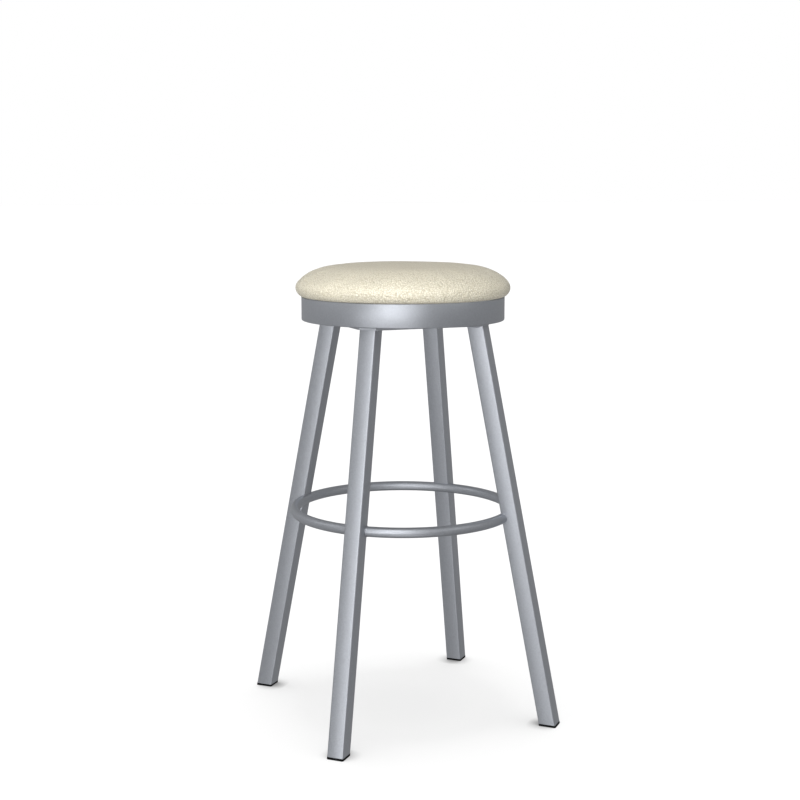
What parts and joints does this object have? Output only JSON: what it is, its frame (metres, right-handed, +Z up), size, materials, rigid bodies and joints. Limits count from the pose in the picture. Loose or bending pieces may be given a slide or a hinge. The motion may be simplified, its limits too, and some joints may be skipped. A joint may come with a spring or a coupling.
{
  "type": "swivel stool",
  "caption": "Backless spectator-height stool with splayed square-tube legs, a round foot ring and a round padded seat that swivels on a ball-bearing plate.",
  "frame": {"origin": "on the floor, on the swivel axis, at the middle of the four feet", "axes": "+Z up along the swivel axis; +X to the right and +Y to the back; the legs stand on the diagonals of X and Y"},
  "size_m": [0.468, 0.468, 0.864],
  "materials": {
    "silver_coat": "satin silver powder coat",
    "glide_black": "matte moulded",
    "zinc_steel": "zinc plated",
    "bearing_steel": "polished",
    "nylon": "matte moulded",
    "plywood": "bare sanded",
    "foam": "open-cell foam",
    "cream_leather": "pebble-grained satin faux leather"
  },
  "bodies": {
    "base": {"front_left_leg": "silver_coat", "front_right_leg": "silver_coat", "back_right_leg": "silver_coat", "back_left_leg": "silver_coat", "front_left_glide": "glide_black", "front_right_glide": "glide_black", "back_right_glide": "glide_black", "back_left_glide": "glide_black", "footrest_ring": "silver_coat", "top_plate": "silver_coat", "swivel_base_plate": "zinc_steel", "swivel_screws": "zinc_steel", "swivel_flange_nuts": "zinc_steel", "king_bolt": "zinc_steel", "king_washer": "zinc_steel", "king_nut": "zinc_steel"},
    "ball_race": {"ball_cage": "nylon", "bearing_balls": "bearing_steel"},
    "seat": {"swivel_turn_plate": "zinc_steel", "pivot_bush": "nylon", "seat_cross": "silver_coat", "seat_band": "silver_coat", "seat_screws": "zinc_steel", "screw_washers": "zinc_steel", "t_nuts": "zinc_steel", "seat_board": "plywood", "foam_pad": "foam", "seat_cover": "cream_leather", "staples": "zinc_steel"}
  },
  "joints": [
    {"name": "seat_swivel", "type": "hinge", "parent": "base", "child": "seat", "pos_m": [0, 0, 0.769], "axis": [0, 0, 1], "continuous": true},
    {"name": "ball_race_turn", "type": "hinge", "parent": "base", "child": "ball_race", "pos_m": [0, 0, 0.769], "axis": [0, 0, 1], "continuous": true}
  ],
  "couplings": [
    {"joint": "ball_race_turn", "follows": "seat_swivel", "ratio": 0.5}
  ]
}
